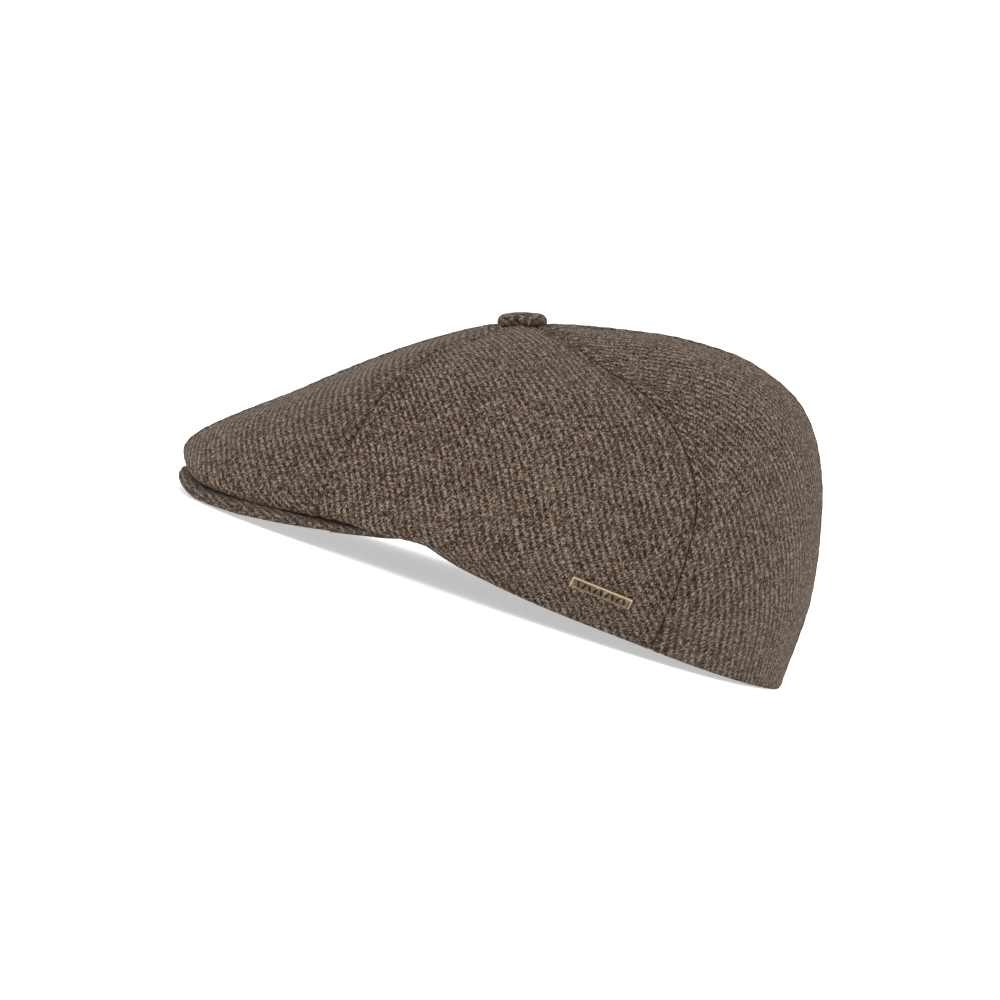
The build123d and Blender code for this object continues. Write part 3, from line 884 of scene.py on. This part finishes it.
def strip(name, angles, heights, depth, thick, swell):
    """Tape standing on the inner ring, as a closed skin, and the wall that it stands on."""
    wall, inward = inner_ring(angles, heights)
    run = lengths_along(wall, 0)
    up = np.broadcast_to(heights, run.shape)
    rise = swell(wall, run, up)[..., None]
    outer = wall + inward[:, None] * depth
    inner = wall + inward[:, None] * (depth + thick + rise)
    uv = np.stack([run, up], -1)
    return shell(name, outer[:, ::-1], inner[:, ::-1], uv[:, ::-1]), wall


def band_swell(points, run, up):
    """Thinner along both edges, and pulled in unevenly along its two stitch rows."""
    wave, wave_size = BAND_WAVE
    thinning, edge_width = BAND_EDGE
    dip, dip_width = BAND_SEWN
    ripple, ripple_pace = BAND_RIPPLE
    edge = bump(up, BAND_LOW, edge_width) + bump(up, BAND_HEIGHT, edge_width)
    sewn = sum(bump(up, height, dip_width) for height in BAND_STITCH_HEIGHTS)
    return (wave * rough(points, wave_size, 8) - thinning * edge - dip * sewn
            + ripple * np.sin(run * ripple_pace) * sewn)


def tape_swell(points, run, up):
    """Thinner along both ends."""
    wave, wave_size = TAPE_WAVE
    thinning, end_width = TAPE_END
    ends = bump(run, 0, end_width) + bump(run, run.max(), end_width)
    return wave * rough(points, wave_size, 9) - thinning * ends


def band_stitches(height):
    """One row of stitches on the sweatband's face."""
    wall, inward = inner_ring(BAND_STITCH_ANGLES, np.array([height]))
    path = wall[:, 0] + inward * (BAND_DEPTH + BAND_THICKNESS - BAND_STITCH_SINK)
    return stitch_row(path, inward, BAND_STITCH)


band, band_wall = strip("sweatband_tape", BAND_ANGLES, BAND_HEIGHTS, BAND_DEPTH,
                        BAND_THICKNESS, band_swell)
add(band, BAND, "sweatband_cotton", "sweatband")
declare_sheet(band_wall)

band_rows = [band_stitches(height) for height in BAND_STITCH_HEIGHTS]
add(merged("sweatband_stitches", band_rows), THREAD, "thread")

tape, tape_wall = strip("sweatband_join", TAPE_ANGLES, TAPE_HEIGHTS, TAPE_DEPTH,
                        TAPE_THICKNESS, tape_swell)
add(tape, BAND, "sweatband_cotton", "sweatband_join_tape")
declare_sheet(tape_wall)


# ---- peak ----
PEAK_ANGLES = np.linspace(-PEAK_END_ANGLE, PEAK_END_ANGLE, 221)
PEAK_REACHES = np.linspace(0.02, 1.0, 61)
# The cloth follows this many of the reaches, and rolls over the rim from there.
FLAT_REACHES = 58
ROLL_STEPS = 14
ROLL_REACH = 2.2
PEAK_GRAIN = 90
UNDER_SHIFT = 41.3
PEAK_SKIN = 0.9 * PEAK_CLOTH
# The tapered ends stand off the board a little, and hardly wrinkle.
END_EASE = 0.3
# Rise and size of the peak cloth's wrinkles, then how near the rim they die out.
BROAD_WOBBLE = (0.22, 22)
FINE_WOBBLE = (0.1, 8)
WOBBLE_FADE = 5
RIM_CREASE = 0.35
RIM_CREASE_WIDTH = 0.7
# The upper cloth's rim is rounded off at the front.
RIM_ROUND = 0.9
RIM_ROUND_WIDTH = 3.2
RIM_ROUND_TURN = 34


def full(value):
    """Cosine or sine of the rim's turn, bent to make the rim fuller than an ellipse."""
    return np.copysign(np.abs(value) ** PEAK_FULLNESS, value)


def rim_height(angles):
    keys = np.concatenate([-RIM_ANGLES[:0:-1], RIM_ANGLES])
    heights = np.concatenate([RIM_HEIGHTS[:0:-1], RIM_HEIGHTS])
    return through(keys, heights, angles)


def peak_grid(angles, reaches):
    """Upper face of the peak."""
    share = angles / PEAK_END_ANGLE
    inner_turn = np.radians(share * PEAK_INNER_END_ANGLE)
    inner = np.stack([OPENING_HALF_LENGTH * np.cos(inner_turn),
                      OPENING_HALF_WIDTH * np.sin(inner_turn),
                      PEAK_INNER_HEIGHT - PEAK_INNER_DROP * share**2], -1)
    turn = np.radians(angles)
    outer = np.stack([PEAK_CENTRE_X + PEAK_REACH * full(np.cos(turn)),
                      PEAK_HALF_WIDTH * full(np.sin(turn)),
                      rim_height(angles)], -1)
    return inner[:, None] + (outer - inner)[:, None] * reaches[None, :, None]


def peak_taper(angles):
    """Share of the peak's thickness that is left towards its ends."""
    beyond = np.maximum(np.abs(angles) - PEAK_TAPER_START, 0)
    return 1 - PEAK_TAPER * beyond / (PEAK_END_ANGLE - PEAK_TAPER_START)


def rolled_sheet(side, taper):
    """Grid of the cloth on one side of the peak, as far as the middle of the rim's edge."""
    top = peak_grid(PEAK_ANGLES, PEAK_REACHES)
    normals = normals_of(top)
    normals *= np.sign(normals[..., 2:].mean())
    half = (PEAK_THICKNESS * taper / 2)[..., None]
    middle = top - normals * half
    flat = (middle + normals * side * half)[:, :FLAT_REACHES]
    ahead = top[:, -1:] - top[:, -2:-1]
    ahead /= np.linalg.norm(ahead, axis=2, keepdims=True)
    reach = ahead * ROLL_REACH * taper[..., None]
    roll = np.linspace(0, math.pi / 2, ROLL_STEPS)[None, :, None]
    arc = middle[:, -1:] - reach + normals[:, -1:] * side * half * np.cos(roll) + reach * np.sin(roll)
    between = (arc[:, :1] + flat[:, -1:]) / 2
    return np.concatenate([flat, between, arc], axis=1)


def peak_cloth(name, under, node):
    """Upper or under cloth of the peak, as a closed skin."""
    side = -1.0 if under else 1.0
    taper = peak_taper(PEAK_ANGLES)[:, None]
    sheet = rolled_sheet(side, taper)
    run = lengths_along(sheet, 1)
    across = lengths_along(sheet, 0)
    across = across - across[len(PEAK_ANGLES) // 2]
    left = run[:, -1:] - run
    (broad, broad_size), (fine, fine_size) = BROAD_WOBBLE, FINE_WOBBLE
    wobble = broad * rough(sheet, broad_size, 11 + int(under)) + fine * rough(sheet, fine_size, 12)
    rise = wobble * fade(left, 0, WOBBLE_FADE) * taper**2 + END_EASE * (1 - taper)
    rise = rise - RIM_CREASE * bump(left, 0, RIM_CREASE_WIDTH) * taper
    if not under:
        front = bump(PEAK_ANGLES, 0, RIM_ROUND_TURN)[:, None]
        rise = rise - RIM_ROUND * bump(left, 0, RIM_ROUND_WIDTH) * front
    normals = normals_of(sheet)
    normals *= np.sign(normals[:, :FLAT_REACHES, 2].mean()) * side
    outer = sheet + normals * rise[..., None]
    inner = sheet - normals * PEAK_SKIN * taper[..., None]
    uv = grained(across, run + (UNDER_SHIFT if under else 0.0), PEAK_GRAIN)
    if not under:
        outer, inner, uv = outer[::-1], inner[::-1], uv[::-1]
    obj = shell(name, outer, inner, uv)
    add(obj, PLAIN_TWEED, "tweed", node)
    declare_sheet(sheet)


peak_cloth("peak_cloth_upper", False, "peak_upper_cloth")
peak_cloth("peak_cloth_under", True, "peak_under_cloth")


# ---- button ----
# Radius and height of the cloth's outline, from its middle to its foot.
BUTTON_PROFILE = [(0, 5.45), (4.2, 5.35), (7.4, 4.9), (9.3, 3.9), (10.1, 2.6), (10.2, 1.3),
                  (9.7, 0.3), (8.0, 0.1)]
BUTTON_RINGS = 40
BUTTON_SIDES = 96
GATHER_RISE = 0.2
GATHER_START = 0.5
GATHERS = 13
GATHER_UNEVENNESS = 0.7
BUTTON_OVAL = 0.012
# Rise and size of the small bumps on the button's cloth.
BUTTON_BUMPS = (0.14, 4)


def button():
    """Cloth drawn over the button form, with small gathers at its foot."""
    tilt = math.radians(BUTTON_TILT)
    turn = np.linspace(0, 2 * math.pi, BUTTON_SIDES, endpoint=False)
    share = np.linspace(0, 1, BUTTON_RINGS + 1)[:, None]
    last = len(BUTTON_PROFILE) - 1
    at = np.linspace(0, last, BUTTON_RINGS + 1)
    profile = through(np.arange(last + 1), BUTTON_PROFILE, at)
    folds = np.sin(GATHERS * turn + GATHER_UNEVENNESS * np.sin(3 * turn))
    gather = GATHER_RISE * folds * np.maximum(0, share - GATHER_START)
    radius = profile[:, :1] * (1 + BUTTON_OVAL * np.sin(2 * turn + 1)) + gather
    x, y = radius * np.cos(turn), radius * np.sin(turn)
    z = np.broadcast_to(profile[:, 1:], x.shape)
    height, size = BUTTON_BUMPS
    z = z + height * rough(np.stack([x, y, z], -1), size, 21)
    verts = np.stack([BUTTON_PLACE[0] + x * math.cos(tilt) + z * math.sin(tilt),
                      BUTTON_PLACE[1] + y,
                      BUTTON_PLACE[2] - x * math.sin(tilt) + z * math.cos(tilt)], -1)
    reach = BUTTON_RADIUS * BUTTON_WRAP * share
    uvs = np.stack([reach * np.cos(turn), reach * np.sin(turn)], -1).reshape(-1, 2)
    faces = []
    for near in range(0, BUTTON_RINGS * BUTTON_SIDES, BUTTON_SIDES):
        far = near + BUTTON_SIDES
        for k in range(BUTTON_SIDES):
            after = (k + 1) % BUTTON_SIDES
            faces.append((near + k, far + k, far + after, near + after))
    foot = BUTTON_RINGS * BUTTON_SIDES
    faces.append(tuple(foot + k for k in range(BUTTON_SIDES))[::-1])
    obj = new_object("button_cloth", verts.reshape(-1, 3), faces, uvs)
    add(obj, PLAIN_TWEED, "tweed", "button_cloth_cover")


button()

# ---- CAD pieces that stay as they are ----
CAD_FINISH = {
    "badge_plate": BRASS, "badge_prongs": BRASS, "badge_backing": BRASS,
    "button_shell": TINPLATE, "button_back_plate": TINPLATE, "button_shank": TINPLATE,
    "button_washer": TINPLATE, "peak_board": board_material(), "head_stay_band": STAY,
}
for node, material in CAD_FINISH.items():
    mesh = frame["nodes"][node].data
    mesh.materials.clear()
    mesh.materials.append(material)

# ---- floor and light ----
FLOOR_SIZE = 60.0
FLOOR_GLOW = 0.5
WORLD_STRENGTH = 1.15
LIGHT_TARGET = placed((10, 0, 50))
# Lights: name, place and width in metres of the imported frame, and power in watts.
LIGHTS = [
    ("key", (0.5, 1.3, 1.6), 1.4, 9.0),
    ("top", (-0.2, -0.1, 2.0), 1.2, 5.0),
    ("back", (-1.2, -1.0, 1.3), 1.0, 2.5),
]


def floor_material():
    """Pale studio floor, which glows a little so that it stays near white."""
    g = Graph("studio_floor")
    cloudy = g.noise(g.place(), 3.0, 3.0)
    colour = g.ramp(cloudy, [(0.3, (0.86, 0.86, 0.86, 1)), (0.7, (0.9, 0.9, 0.9, 1))])
    uneven = g.math("ADD", 0.75, g.math("MULTIPLY", cloudy, 0.1))
    return g.finish(colour, uneven, Specular_IOR_Level=0.1,
                    Emission_Color=(1.0, 1.0, 1.0, 1.0), Emission_Strength=FLOOR_GLOW)


def area_light(name, place, width, power):
    """Round light aimed at the cap."""
    data = bpy.data.lights.new(name, "AREA")
    data.shape = "DISK"
    data.size = width
    data.energy = power
    obj = bpy.data.objects.new(name, data)
    obj.location = place
    bpy.context.scene.collection.objects.link(obj)
    direction = Vector(LIGHT_TARGET) - obj.location
    obj.rotation_euler = direction.to_track_quat("-Z", "Y").to_euler()


bpy.ops.mesh.primitive_plane_add(size=FLOOR_SIZE, location=(0, 0, 0))
floor = bpy.context.object
floor.name = "studio_floor"
floor.data.materials.append(floor_material())

world = bpy.data.worlds.new("studio")
bpy.context.scene.world = world
world.use_nodes = True
background = world.node_tree.nodes["Background"]
background.inputs["Color"].default_value = (1.0, 1.0, 1.0, 1.0)
background.inputs["Strength"].default_value = WORLD_STRENGTH

for light in LIGHTS:
    area_light(*light)

# ---- camera: the photo's view of the left side, from far off ----
CAMERA_TARGET = (33.1, 0.0, 27.8)
CAMERA_ROLL = math.radians(22.64)
CAMERA_RISE = math.radians(4.0)
CAMERA_DISTANCE = 3.0
SHOWN_WIDTH = 0.415
SENSOR_WIDTH = 36.0

right = np.array([-math.cos(CAMERA_ROLL), 0, math.sin(CAMERA_ROLL)])
level_up = np.array([math.sin(CAMERA_ROLL), 0, math.cos(CAMERA_ROLL)])
backward = math.cos(CAMERA_RISE) * LEFT + math.sin(CAMERA_RISE) * level_up
upward = np.cross(backward, right)
camera_data = bpy.data.cameras.new("camera")
camera_data.sensor_width = SENSOR_WIDTH
camera_data.lens = SENSOR_WIDTH * CAMERA_DISTANCE / SHOWN_WIDTH
camera_data.clip_end = 100.0
camera = bpy.data.objects.new("camera", camera_data)
bpy.context.scene.collection.objects.link(camera)
columns = np.array([turned(right), turned(upward), turned(backward)]).T
matrix = Matrix(columns.tolist()).to_4x4()
matrix.translation = Vector(placed(CAMERA_TARGET) + CAMERA_DISTANCE * turned(backward))
camera.matrix_world = matrix
bpy.context.scene.camera = camera
bpy.context.scene.view_settings.view_transform = "Standard"
